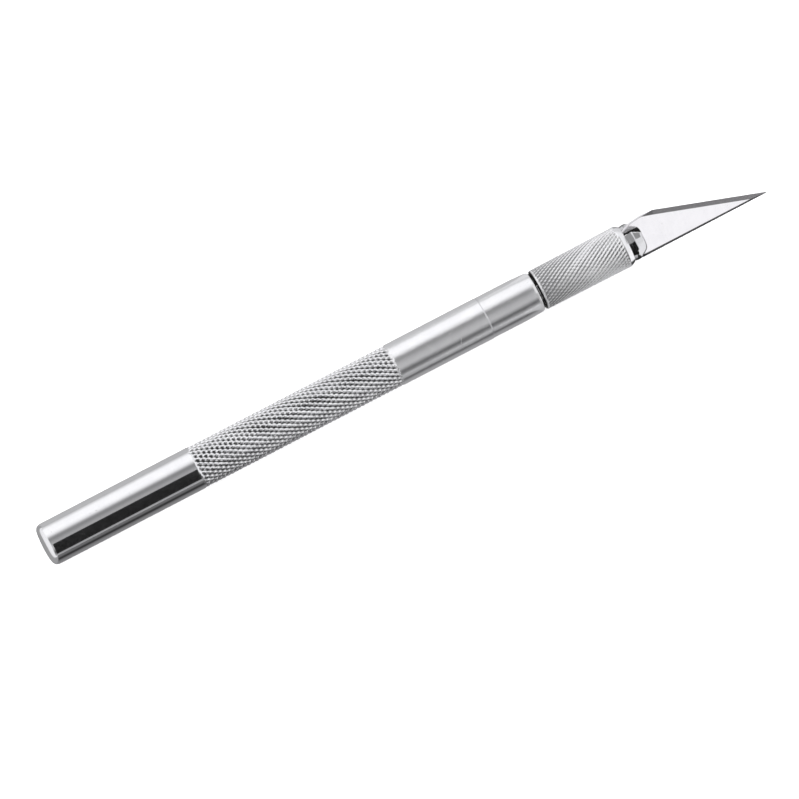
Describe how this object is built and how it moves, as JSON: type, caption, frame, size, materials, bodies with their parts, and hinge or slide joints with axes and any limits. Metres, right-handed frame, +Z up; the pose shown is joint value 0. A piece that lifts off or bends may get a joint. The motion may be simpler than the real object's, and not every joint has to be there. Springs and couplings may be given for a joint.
{
  "type": "hobby craft knife",
  "caption": "Slim round aluminium craft knife with a knurled grip, a draw-in collet chuck worked by a knurled collar, and a pointed replaceable blade.",
  "frame": {"origin": "middle of the knife's footprint on the surface it lies on, which is the bottom centre of its bounding box", "axes": "+X along the knife's axis towards the blade's point, +Z up from the surface, +Y across the knife to the side that the cutting edge leans to"},
  "size_m": [0.1456, 0.008, 0.008],
  "materials": {
    "handle_aluminium": "bright turned aluminium, smooth at the rear and knurled over the grip",
    "ferrule_aluminium": "brushed turned aluminium",
    "collar_aluminium": "fine diamond knurling on bright aluminium",
    "collet_steel": "polished turned steel",
    "blade_steel": "satin ground carbon steel with a ground edge"
  },
  "bodies": {
    "handle": {"handle_bar": "handle_aluminium", "nose_ferrule": "ferrule_aluminium"},
    "collar": {"chuck_collar": "collar_aluminium"},
    "collet": {"chuck_collet": "collet_steel"},
    "blade": {"blade": "blade_steel"}
  },
  "joints": [
    {"name": "collar_turn", "type": "hinge", "parent": "handle", "child": "collar", "pos_m": [0.0271, 0, 0.004], "axis": [1, 0, 0], "range_deg": [0, 720.01]},
    {"name": "collet_feed", "type": "slide", "parent": "collar", "child": "collet", "axis": [1, 0, 0], "range_m": [0, 0.0016]},
    {"name": "blade_slide", "type": "slide", "parent": "collet", "child": "blade", "axis": [1, 0, 0], "range_m": [0, 0.02]}
  ],
  "couplings": [
    {"joint": "collar_turn", "follows": "collet_feed", "rad_per_m": 7854}
  ]
}
